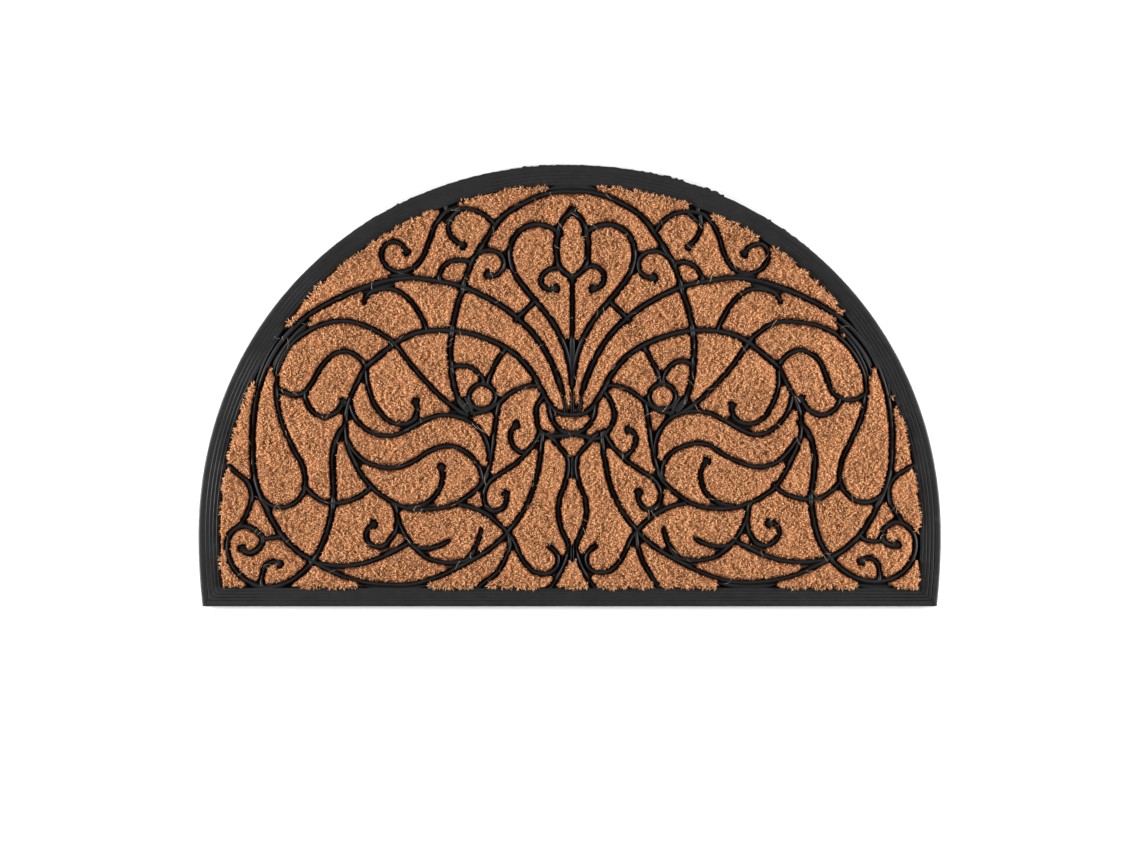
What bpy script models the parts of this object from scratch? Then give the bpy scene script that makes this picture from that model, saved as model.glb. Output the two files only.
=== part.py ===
"""Half round doormat: one black rubber moulding with scroll tracery, filled with brown coir.

The mat lies flat on its back, straight edge along X, arch towards +Y. The origin is the middle of
the underside's box. The tracery is given for the left half, in millimetres, as strokes through a
few points: distance out from the middle line, then height above the straight edge. The right half
mirrors it, apart from the strokes that run differently there.
"""

import math
from collections import namedtuple
from itertools import pairwise

import bmesh
import bpy
from mathutils import Vector
from mathutils.geometry import interpolate_bezier

MM = 0.001

# Outline: a superellipse arch above the widest line, sides drawn in a little below it
MAT_WIDTH = 0.750
MAT_DEPTH = 0.446
WIDEST_ABOVE_EDGE = 0.071
ARCH_EXPONENT = 2.05
ARCH_STEPS = 40
SIDE_ROUND = 0.482
SIDE_STEPS = 3

# Levels above the surface that the mat lies on
BACKING_TOP = 0.0020
CHANNEL_FLOOR = 0.0037
RIB_BOTTOM = 0.0040
RIB_TOP = 0.0080
BORDER_GROOVE = 0.0074
COIR_TOP = 0.0100
FIT_GAP = 0.0003

# Border: fine ridges side by side, then a wall with a little draft down to the backing
RIDGE_COUNT = 5
RIDGE_PITCH = 0.0042
RIDGE_RISE = 0.0008
WALL_DRAFT = 0.0004
BORDER_WIDTH = RIDGE_COUNT * RIDGE_PITCH

# Tracery
RIB_WIDTH = 0.0050
BALL_RADIUS = 0.0045
BALL_SIDES = 7
RING_CENTRE = (91, 212)
RING_RADIUS = 13.5
RING_STEPS = 10
CURVE_STEPS = 12
MOST_TURN = math.radians(28)
LONGEST_STEP = 0.030
SHARPEST_MITRE = math.cos(math.radians(60))
CUTTER_OVERSHOOT = 0.0020

# The scrollwork's middle line lies a little to the right of the mat's own
PATTERN_SHIFT = 0.0026
# The right half rides up a little towards the straight edge, in millimetres, more so by the border
LIFT_BELOW = 215
INNER_LIFT_RATE = 0.013
INNER_LIFT_RAMP = 60
OUTER_LIFT_RATE = 0.04
OUTER_LIFT = 4.0
OUTER_LIFT_START = 190
OUTER_LIFT_RAMP = 50

Stroke = namedtuple("Stroke", "name ball through")

STROKES = (
    # Wings, from the collar round to the lower corners
    Stroke("outer_wing", False, ((7, 200), (20, 244), (35, 270), (60, 295), (86, 312), (111, 323),
                                 (138, 329), (164, 332), (188, 329), (226, 316), (265, 295), (287, 276),
                                 (303, 254), (315, 226), (323, 166), (318, 120), (306, 93), (291, 69),
                                 (261, 45))),
    Stroke("inner_wing", False, ((0, 194), (17, 198), (28, 213), (40, 235), (58, 255), (83, 269),
                                 (109, 277), (135, 279), (158, 276), (179, 266), (195, 253), (209, 241))),
    Stroke("wing_strand", False, ((210, 308), (205, 316), (194, 320), (182, 321), (169, 314), (157, 300),
                                  (147, 279))),
    Stroke("side_leaf", False, ((105, 193), (121, 202), (140, 219), (161, 242), (180, 266), (201, 280),
                                (226, 288), (240, 288), (265, 279), (286, 262), (297, 243), (299, 228),
                                (298, 207), (293, 185), (282, 160), (271, 138), (271, 117), (278, 106),
                                (297, 100), (313, 109))),
    Stroke("side_bow", False, ((298, 221), (291, 217), (280, 213), (270, 216), (263, 226), (251, 245),
                               (242, 254), (229, 258), (217, 253), (209, 242))),
    Stroke("side_hook", True, ((270, 217), (266, 202), (260, 195), (251, 191), (242, 194), (236, 199),
                               (232, 206))),
    # Tall arch round the fleur, its shoulder scroll and its small curls
    Stroke("arch", False, ((0, 419), (22, 418), (48, 408), (71, 393), (83, 377), (96, 357), (105, 339),
                           (111, 320), (118, 297), (122, 275), (123, 253), (120, 227), (113, 206),
                           (105, 196))),
    Stroke("shoulder_scroll", True, ((77, 383), (93, 398), (110, 402), (126, 400), (137, 388), (144, 370),
                                     (153, 350), (164, 340), (176, 338), (188, 344), (193, 355),
                                     (189, 365), (181, 369), (173, 366), (168, 359))),
    Stroke("shoulder_curl", True, ((113, 401), (121, 393), (125, 384), (123, 375), (118, 369), (111, 365))),
    Stroke("arch_curl", True, ((99, 353), (91, 359), (83, 360), (74, 357), (69, 348), (73, 337),
                               (80, 334), (85, 335))),
    Stroke("arch_tie", False, ((134, 328), (132, 341), (122, 349), (111, 350), (103, 348))),
    # Fleur: side lobe, petal, curl and stem
    Stroke("lobe", False, ((12, 376), (25, 384), (38, 386), (51, 381), (61, 368), (63, 355), (58, 336),
                           (46, 319), (34, 305), (20, 287), (9, 266), (2, 241), (0, 224))),
    Stroke("lobe_tie", False, ((38, 309), (47, 299), (58, 289))),
    Stroke("petal", False, ((-2, 401), (9, 391), (15, 374), (16, 359), (13, 344), (5, 335), (-2, 330))),
    Stroke("petal_curl", True, ((12, 342), (20, 342), (28, 337), (32, 330), (28, 322), (17, 321))),
    # Eye between wing and arch
    Stroke("eye_brow", False, ((122, 242), (112, 243), (103, 242), (96, 237), (89, 224))),
    Stroke("eye_stay", False, ((67, 261), (80, 240), (86, 223))),
    Stroke("eye_lash", False, ((103, 195), (89, 197), (74, 206), (60, 217), (43, 223), (33, 223))),
    # Heart-shaped leaf with its veins
    Stroke("leaf", False, ((209, 241), (221, 218), (228, 197), (229, 181), (226, 160), (216, 138),
                           (203, 121), (189, 110), (170, 100), (144, 98), (117, 104), (102, 114),
                           (91, 125), (84, 140), (80, 163), (77, 189), (74, 205))),
    Stroke("leaf_tongue", True, ((208, 238), (205, 218), (195, 197), (180, 185), (166, 185), (158, 192),
                                 (158, 206))),
    Stroke("leaf_upper_vein", False, ((224, 203), (215, 185), (198, 174), (186, 172), (169, 177),
                                      (151, 187), (134, 193), (114, 191), (98, 183), (87, 167),
                                      (84, 148))),
    Stroke("leaf_lower_vein", False, ((227, 168), (215, 151), (195, 141), (178, 140), (163, 145),
                                      (144, 157), (123, 162), (105, 154), (94, 140), (91, 126))),
    Stroke("leaf_curl", True, ((166, 100), (153, 102), (138, 112), (131, 129), (132, 140))),
    # Corner volute with its thorns
    Stroke("volute", True, ((229, 183), (237, 172), (242, 151), (241, 118), (243, 94), (249, 72),
                            (261, 47), (272, 35), (288, 24), (309, 19), (329, 26), (345, 41), (351, 59),
                            (347, 74), (335, 81), (322, 78), (313, 68), (318, 57), (327, 54),
                            (333, 58))),
    Stroke("volute_stay", False, ((313, 68), (304, 69), (291, 71))),
    Stroke("volute_link", False, ((355, 148), (339, 135), (328, 125), (324, 113), (326, 100), (337, 81))),
    Stroke("volute_thorn", True, ((314, 20), (313, 31), (308, 43), (302, 45), (296, 43))),
    Stroke("leaf_bow", False, ((271, 123), (263, 114), (249, 105), (231, 105), (215, 111), (203, 121))),
    # Bottom sweep with its curls
    Stroke("bottom_sweep", False, ((261, 45), (240, 34), (213, 25), (188, 22), (164, 22), (138, 29),
                                   (112, 41), (86, 56), (66, 74), (53, 91), (40, 117), (34, 141),
                                   (30, 176))),
    Stroke("bottom_fan", False, ((261, 45), (240, 41), (213, 43), (188, 52), (164, 65))),
    Stroke("fan_curl", True, ((182, 105), (177, 86), (183, 69), (194, 60), (205, 64), (208, 73),
                              (201, 83))),
    Stroke("fan_sweep", False, ((179, 102), (174, 83), (163, 64), (148, 50), (127, 44), (109, 46),
                                (98, 49))),
    Stroke("fan_inner", False, ((164, 64), (155, 59), (142, 59), (130, 63), (123, 67))),
    Stroke("fan_spur", False, ((107, 47), (100, 56), (95, 66), (92, 79))),
    Stroke("foot_scroll", False, ((115, 103), (99, 99), (82, 90), (66, 75), (60, 68), (50, 47), (37, 34),
                                  (26, 33), (16, 40), (15, 52), (23, 60))),
    Stroke("foot_stay", False, ((65, 74), (63, 64), (67, 50), (76, 34), (89, 24), (98, 17))),
    # Collar, its tendril and the ogee drop below
    Stroke("tendril", True, ((32, 177), (43, 159), (55, 146), (71, 135), (84, 125), (89, 114), (86, 101),
                             (77, 96), (69, 101), (67, 113))),
    Stroke("tendril_curl", True, ((47, 155), (56, 158), (62, 168), (61, 178), (57, 183))),
    Stroke("collar_rim", False, ((29, 212), (36, 202), (36, 190), (32, 177), (22, 172), (11, 172),
                                 (-1, 174))),
    Stroke("collar_bowl", False, ((23, 206), (22, 192), (15, 181), (7, 176), (-1, 175))),
    Stroke("ogee", False, ((26, 175), (13, 161), (5, 150), (4, 142), (7, 125), (13, 108), (14, 93),
                           (10, 76), (4, 62), (4, 55), (9, 40), (24, 17))),
)

# Strokes that run differently on the right half
RIGHT_STROKES = (
    Stroke("side_leaf", False, ((105, 193), (121, 202), (140, 219), (161, 242), (184, 273), (199, 284),
                                (213, 288), (228, 287), (242, 285), (261, 278), (277, 265), (288, 250),
                                (295, 234), (297, 221), (296, 208), (291, 188), (280, 162), (272, 143),
                                (270, 126), (277, 110), (291, 101), (304, 103), (313, 109))),
    Stroke("side_bow", False, ((298, 217), (291, 211), (281, 208), (271, 210), (263, 216), (259, 225),
                               (254, 239), (248, 250), (240, 256), (230, 259), (219, 255), (210, 245))),
    Stroke("side_hook", True, ((270, 209), (262, 196), (250, 192), (240, 197), (235, 204), (232, 209))),
    Stroke("shoulder_scroll", True, ((85, 379), (98, 394), (116, 399), (134, 395), (146, 379), (152, 360),
                                     (163, 341), (177, 336), (191, 341), (198, 354), (192, 366),
                                     (182, 365), (174, 357))),
    Stroke("shoulder_curl", True, ((129, 395), (130, 385), (127, 375), (118, 364))),
    Stroke("arch_curl", True, ((99, 351), (93, 356), (84, 359), (74, 357), (68, 351), (67, 342),
                               (72, 334), (82, 332))),
    Stroke("arch_tie", False, ((103, 346), (113, 348), (122, 345), (128, 338), (132, 330))),
    Stroke("petal_curl", True, ((11, 340), (18, 344), (25, 343), (31, 338), (32, 330), (28, 323),
                                (21, 321))),
    Stroke("eye_stay", False, ((73, 262), (80, 249), (86, 237), (89, 226))),
    Stroke("eye_brow", False, ((121, 244), (110, 248), (100, 244), (95, 237), (92, 225))),
    Stroke("leaf", False, ((209, 242), (220, 219), (227, 205), (231, 190), (231, 175), (228, 160),
                           (221, 145), (204, 118), (184, 105), (171, 100), (149, 97), (127, 100),
                           (113, 107), (101, 116), (91, 127), (85, 141), (81, 158), (78, 178),
                           (74, 204))),
    Stroke("leaf_tongue", True, ((208, 238), (208, 222), (203, 206), (194, 191), (183, 184), (172, 185),
                                 (163, 192), (161, 202))),
    Stroke("leaf_upper_vein", False, ((222, 212), (218, 197), (210, 185), (199, 176), (184, 173),
                                      (170, 178), (151, 189), (138, 195), (124, 197), (110, 195),
                                      (97, 188), (88, 176), (84, 164), (84, 148))),
    Stroke("leaf_lower_vein", False, ((227, 168), (217, 154), (206, 144), (185, 140), (164, 147),
                                      (150, 154), (139, 162), (125, 164), (112, 161), (101, 155),
                                      (93, 144), (91, 128))),
    Stroke("leaf_curl", True, ((163, 100), (149, 103), (138, 110), (131, 122), (130, 135), (135, 145))),
    Stroke("volute", True, ((229, 185), (238, 174), (244, 155), (244, 129), (241, 107), (244, 82),
                            (252, 57), (264, 41), (277, 30), (291, 23), (308, 21), (323, 24), (336, 33),
                            (346, 50), (346, 66), (337, 78), (325, 81), (315, 74), (314, 63),
                            (328, 58))),
    Stroke("volute_stay", False, ((291, 67), (300, 62), (312, 63))),
    Stroke("volute_link", False, ((355, 144), (337, 135), (327, 128), (321, 120), (320, 110), (322, 98),
                                  (328, 89), (333, 81))),
    Stroke("volute_thorn", True, ((310, 22), (310, 32), (307, 41), (300, 45), (292, 42))),
    Stroke("fan_curl", True, ((180, 103), (177, 91), (179, 73), (185, 63), (195, 59), (205, 64),
                              (209, 74), (205, 81), (199, 82))),
    Stroke("foot_stay", False, ((65, 74), (66, 60), (72, 42), (80, 28), (87, 17))),
    Stroke("tendril_curl", True, ((52, 150), (61, 158), (64, 167), (63, 174), (57, 178))),
    Stroke("collar_rim", False, ((33, 216), (41, 202), (42, 188), (38, 179), (28, 170), (20, 169),
                                 (11, 172), (-1, 175))),
)

Web = namedtuple("Web", "name width through")

# Places where the rubber closes up between strokes that run side by side
WEBS = (
    Web("hub", 9, ((110, 205), (99, 194))),
    Web("shoulder_root", 7, ((117, 397), (126, 389))),
    Web("shoulder_to_border", 7, ((126, 398), (129, 406))),
    Web("wing_strand_root", 6, ((202, 319), (180, 325))),
    Web("scroll_to_wing", 6, ((164, 335), (187, 334))),
    Web("side_strands", 12, ((283, 268), (296, 250), (302, 240))),
    Web("strands_to_border", 7, ((300, 264), (311, 245), (318, 229))),
    Web("sweep_to_edge", 9, ((198, 19), (150, 20))),
    Web("volute_to_edge", 8, ((320, 18), (291, 19))),
)

# What lies on the middle line itself
CENTRE = (
    Web("stem", 5, ((0, 335), (0, 194))),
    Web("stem_swell", 7, ((0, 272), (0, 236))),
    Web("bundle", 9, ((0, 232), (0, 194))),
    Web("arch_crown", 8, ((-26, 422), (0, 423), (26, 422))),
)


def bend_directions(knots):
    """Heading at each knot: that of the circle through it and its two neighbours."""
    runs = [b - a for a, b in pairwise(knots)]
    inner = []
    for run_in, run_out in pairwise(runs):
        heading = run_in.normalized() * run_out.length + run_out.normalized() * run_in.length
        inner.append(heading.normalized())
    if not inner:
        return [runs[0].normalized()] * 2
    first = inner[0].reflect(runs[0].orthogonal().normalized())
    last = inner[-1].reflect(runs[-1].orthogonal().normalized())
    return [first, *inner, last]


def smooth_path(points):
    """A fine polyline along the smooth curve that passes through the points."""
    knots = [Vector(point) for point in points]
    headings = bend_directions(knots)
    path = []
    for (start, end), (leave, arrive) in zip(pairwise(knots), pairwise(headings)):
        reach = (end - start).length / 3
        path += interpolate_bezier(start, start + leave * reach, end - arrive * reach, end, CURVE_STEPS)[:-1]
    return [*path, knots[-1]]


def thin_path(path):
    """The fine polyline with only the points that its bends need."""
    kept = [path[0]]
    turned = 0.0
    gone = 0.0
    for before, here, after in zip(path, path[1:], path[2:]):
        turned += abs((here - before).angle_signed(after - here, 0.0))
        gone += (here - before).length
        if turned >= MOST_TURN or gone >= LONGEST_STEP:
            kept.append(here)
            turned = 0.0
            gone = 0.0
    return [*kept, path[-1]]


def placed(out, up, side):
    """A point of the half pattern on the mat; side is -1 for the left half and 1 for the right."""
    lift = 0.0
    if side > 0:
        below = max(0.0, LIFT_BELOW - up)
        inner = INNER_LIFT_RATE * below * min(1.0, max(0.0, out / INNER_LIFT_RAMP))
        outer = min(OUTER_LIFT, OUTER_LIFT_RATE * below)
        lift = inner + (outer - inner) * min(1.0, max(0.0, (out - OUTER_LIFT_START) / OUTER_LIFT_RAMP))
    return Vector((PATTERN_SHIFT + side * out * MM, (up + lift) * MM - MAT_DEPTH / 2))


def ring_points():
    angles = [2 * math.pi * step / RING_STEPS for step in range(RING_STEPS + 1)]
    return [(RING_CENTRE[0] + RING_RADIUS * math.cos(a), RING_CENTRE[1] + RING_RADIUS * math.sin(a))
            for a in angles]


def add_strip(mesh, path, width, level):
    """A flat strip of the given width along the path, mitred at its bends, facing up."""
    runs = [(b - a).normalized() for a, b in pairwise(path)]
    rungs = []
    for here, run_in, run_out in zip(path, [runs[0], *runs], [*runs, runs[-1]]):
        heading = (run_in + run_out).normalized()
        reach = width / 2 / max(heading.dot(run_in), SHARPEST_MITRE)
        offset = Vector((-heading.y, heading.x)) * reach
        rungs.append([mesh.verts.new((*(here + offset * way), level)) for way in (1, -1)])
    for (left, right), (next_left, next_right) in pairwise(rungs):
        mesh.faces.new((left, right, next_right, next_left))


def new_object(name, mesh, collection):
    data = bpy.data.meshes.new(name)
    mesh.to_mesh(data)
    mesh.free()
    built = bpy.data.objects.new(name, data)
    collection.objects.link(built)
    return built


def tracery(name, swell, bottom, top, collection):
    """The scrollwork as one solid from bottom to top, each stroke widened by swell on each side."""
    mesh = bmesh.new()
    right_strokes = {stroke.name: stroke for stroke in RIGHT_STROKES}
    for side in (-1, 1):
        for stroke in STROKES:
            if side > 0:
                stroke = right_strokes.get(stroke.name, stroke)
            path = thin_path([placed(*point, side) for point in smooth_path(stroke.through)])
            add_strip(mesh, path, RIB_WIDTH + 2 * swell, bottom)
            if stroke.ball:
                ball = bmesh.ops.create_circle(
                    mesh, cap_ends=True, segments=BALL_SIDES, radius=BALL_RADIUS + swell)["verts"]
                bmesh.ops.translate(mesh, verts=ball, vec=(*path[-1], bottom))
        for web in WEBS:
            path = [placed(*point, side) for point in web.through]
            add_strip(mesh, path, web.width * MM + 2 * swell, bottom)
        add_strip(mesh, [placed(*point, side) for point in ring_points()], RIB_WIDTH + 2 * swell, bottom)
    for web in CENTRE:
        path = [placed(*point, -1) for point in web.through]
        add_strip(mesh, path, web.width * MM + 2 * swell, bottom)
    mesh.normal_update()
    for face in mesh.faces:
        if face.normal.z < 0:
            face.normal_flip()
    built = new_object(name, mesh, collection)
    solidify = built.modifiers.new("Thickness", "SOLIDIFY")
    solidify.thickness = top - bottom
    solidify.offset = 1
    built.hide_render = True
    built.display_type = "WIRE"
    return built


def outline():
    """The mat's outline, once round from the lower left corner."""
    half = MAT_WIDTH / 2
    widest = WIDEST_ABOVE_EDGE - MAT_DEPTH / 2
    power = 2 / ARCH_EXPONENT
    right = []
    for step in range(SIDE_STEPS):
        drop = WIDEST_ABOVE_EDGE * (1 - step / SIDE_STEPS)
        right.append((half * math.sqrt(1 - (drop / SIDE_ROUND) ** 2), widest - drop))
    for step in range(ARCH_STEPS // 2):
        angle = math.pi * step / ARCH_STEPS
        right.append((half * math.cos(angle) ** power,
                      widest + (MAT_DEPTH - WIDEST_ABOVE_EDGE) * math.sin(angle) ** power))
    left = [(-x, y) for x, y in reversed(right)]
    return [*right, (0.0, MAT_DEPTH / 2), *left]


def slab(bottom, top, inset):
    """A slab from bottom to top, its edge set in from the outline all round, and its top face."""
    mesh = bmesh.new()
    base = mesh.faces.new([mesh.verts.new((x, y, bottom)) for x, y in outline()])
    base.normal_update()
    if inset:
        rim = bmesh.ops.inset_region(
            mesh, faces=[base], thickness=inset, use_boundary=True, use_even_offset=True)["faces"]
        bmesh.ops.delete(mesh, geom=rim, context="FACES")
    raised = bmesh.ops.extrude_face_region(mesh, geom=[base], use_keep_orig=True)["geom"]
    roof = next(item for item in raised if isinstance(item, bmesh.types.BMFace))
    bmesh.ops.translate(mesh, verts=roof.verts, vec=(0, 0, top - bottom))
    bmesh.ops.recalc_face_normals(mesh, faces=mesh.faces)
    return mesh, roof


def step_in(mesh, face, width, rise):
    bmesh.ops.inset_region(mesh, faces=[face], thickness=width, depth=rise, use_even_offset=True)


def rubber_moulding(collection, cutters):
    mesh, roof = slab(0, BORDER_GROOVE, 0)
    for _ in range(RIDGE_COUNT):
        step_in(mesh, roof, RIDGE_PITCH / 2, RIDGE_RISE)
        step_in(mesh, roof, RIDGE_PITCH / 2, -RIDGE_RISE)
    step_in(mesh, roof, WALL_DRAFT, BACKING_TOP - BORDER_GROOVE)
    built = new_object("rubber_moulding", mesh, collection)
    ribs = tracery("tracery_ribs", 0, RIB_BOTTOM, RIB_TOP, cutters)
    join = built.modifiers.new("Tracery", "BOOLEAN")
    join.operation = "UNION"
    join.object = ribs
    join.use_self = True
    return built


def coir_bed(collection, cutters):
    mesh, _ = slab(BACKING_TOP + FIT_GAP, COIR_TOP, BORDER_WIDTH + WALL_DRAFT + FIT_GAP)
    built = new_object("coir_bed", mesh, collection)
    channels = tracery("tracery_channels", FIT_GAP, CHANNEL_FLOOR, COIR_TOP + CUTTER_OVERSHOOT, cutters)
    cut = built.modifiers.new("Channels", "BOOLEAN")
    cut.operation = "DIFFERENCE"
    cut.object = channels
    cut.use_self = True
    return built


def material(name, colour, roughness):
    made = bpy.data.materials.new(name)
    made.use_nodes = True
    shader = made.node_tree.nodes["Principled BSDF"]
    shader.inputs["Base Color"].default_value = (*colour, 1.0)
    shader.inputs["Roughness"].default_value = roughness
    shader.inputs["Metallic"].default_value = 0.0
    made.diffuse_color = (*colour, 1.0)
    return made


def new_collection(name):
    made = bpy.data.collections.new(name)
    bpy.context.scene.collection.children.link(made)
    return made


def main():
    for leftover in list(bpy.data.objects):
        bpy.data.objects.remove(leftover)
    doormat = new_collection("half_round_doormat")
    helpers = new_collection("helpers")
    rubber = rubber_moulding(doormat, helpers)
    rubber.data.materials.append(material("black_rubber", (0.028, 0.028, 0.030), 0.60))
    coir = coir_bed(doormat, helpers)
    coir.data.materials.append(material("brown_coir", (0.36, 0.18, 0.085), 0.95))


main()
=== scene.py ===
"""The looks of a half round doormat: a black rubber moulding with scroll tracery, filled with coir."""

import math
from collections import namedtuple
from itertools import pairwise

import bmesh
import bpy
import numpy as np
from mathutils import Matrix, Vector, kdtree
from mathutils.geometry import interpolate_bezier


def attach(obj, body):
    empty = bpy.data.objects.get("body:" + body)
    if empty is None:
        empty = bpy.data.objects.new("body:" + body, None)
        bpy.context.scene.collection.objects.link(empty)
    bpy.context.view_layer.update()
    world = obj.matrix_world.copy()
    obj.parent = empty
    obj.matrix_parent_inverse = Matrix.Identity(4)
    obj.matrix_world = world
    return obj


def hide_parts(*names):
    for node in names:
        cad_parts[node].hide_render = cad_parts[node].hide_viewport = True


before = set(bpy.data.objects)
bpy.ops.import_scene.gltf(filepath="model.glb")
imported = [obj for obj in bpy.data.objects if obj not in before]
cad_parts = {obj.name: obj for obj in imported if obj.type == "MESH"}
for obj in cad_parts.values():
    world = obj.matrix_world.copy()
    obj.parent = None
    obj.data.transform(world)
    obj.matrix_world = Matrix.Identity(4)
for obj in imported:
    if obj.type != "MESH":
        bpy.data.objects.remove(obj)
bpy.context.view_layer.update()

MM = 0.001
SEED = 7

# Outline, as in the moulding: a superellipse arch above the widest line, sides drawn in below it
MAT_WIDTH = 0.750
MAT_DEPTH = 0.446
WIDEST_ABOVE_EDGE = 0.071
ARCH_EXPONENT = 2.05
SIDE_ROUND = 0.482
EDGE_Y = -MAT_DEPTH / 2

# Levels above the floor
CHANNEL_FLOOR = 3.8 * MM
COIR_BOTTOM = 2.3 * MM
RIB_FOOT = 3.6 * MM
RIB_CREST = 7.4 * MM
PILE_TOP = 9.2 * MM

# Width of the border along the straight edge, and up the left side, the right side and over the arch
BORDER_BOTTOM = 18.6 * MM
BORDER_LEFT = 22.0 * MM
BORDER_RIGHT = 20.8 * MM
BORDER_ARCH = 20.6 * MM

# Half the run over which the border's corners are mitred, half a rib's width, and the radius of a knob
MITRE_HALF = 0.7 * MM
RIB_HALF = 2.4 * MM
BALL_RADIUS = 4.6 * MM

# Bare rubber between a rib and the coir, beside the strokes and beside the thinner strands
CHANNEL_GAP = 1.5 * MM
SNUG_GAP = 0.4 * MM

# The scrollwork's middle line lies a little to the right of the mat's own, and its right half
# rides up a little towards the straight edge, in millimetres, more so out by the border
PATTERN_SHIFT = 2.6 * MM
LIFT_BELOW = 215
INNER_LIFT_RATE = 0.013
INNER_LIFT_RAMP = 60
OUTER_LIFT_RATE = 0.04
OUTER_LIFT = 4.0
OUTER_LIFT_START = 190
OUTER_LIFT_RAMP = 50
RING_CENTRE = (91, 212)
RING_RADIUS = 13.2

Stroke = namedtuple("Stroke", "name ball through")

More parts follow.
